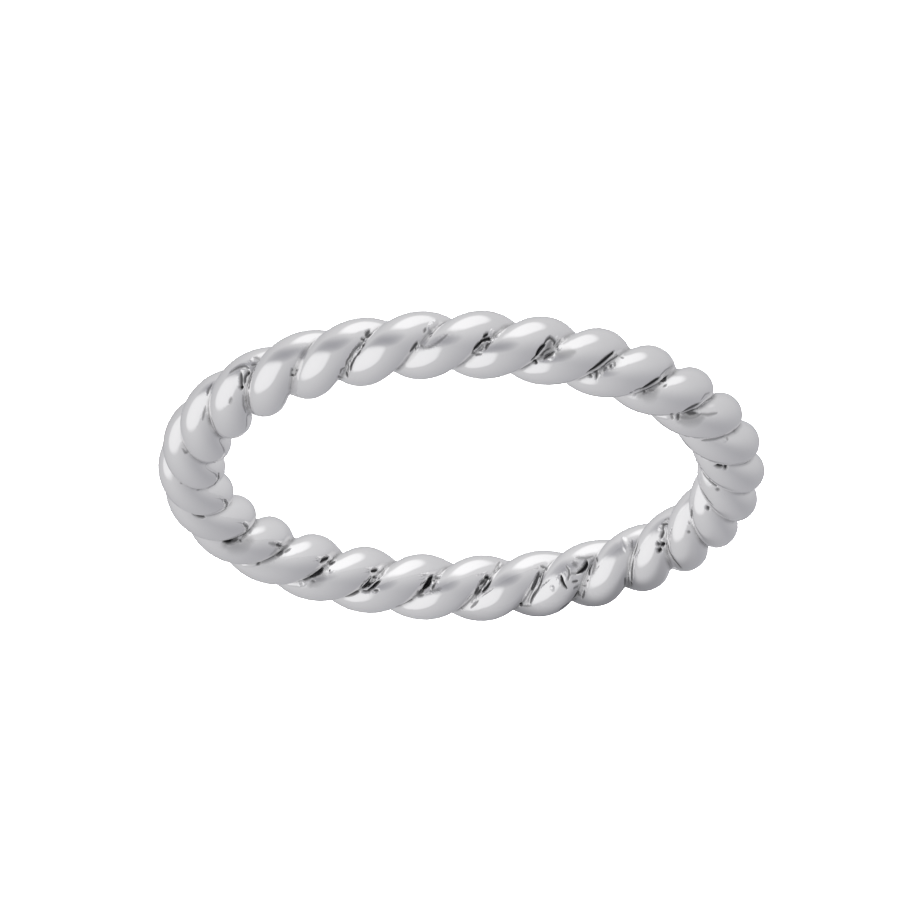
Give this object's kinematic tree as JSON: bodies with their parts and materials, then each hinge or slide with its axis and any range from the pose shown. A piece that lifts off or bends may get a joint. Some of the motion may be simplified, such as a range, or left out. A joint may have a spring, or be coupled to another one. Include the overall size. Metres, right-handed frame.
{
  "type": "rope twist ring",
  "caption": "Closed finger ring made as a rope of silver wire strands twisted round each other, with rounded slanting lobes and narrow soldered grooves all the way round.",
  "frame": {"origin": "middle of the underside, where the finger's axis meets the surface that the ring lies on", "axes": "+Z is the finger's axis and points up as the ring lies on its side; +X passes through the outermost point of a strand's crest"},
  "size_m": [0.0222, 0.0222, 0.0025],
  "materials": {
    "silver": "polished"
  },
  "bodies": {
    "root": {"rope_band": "silver"}
  },
  "joints": []
}
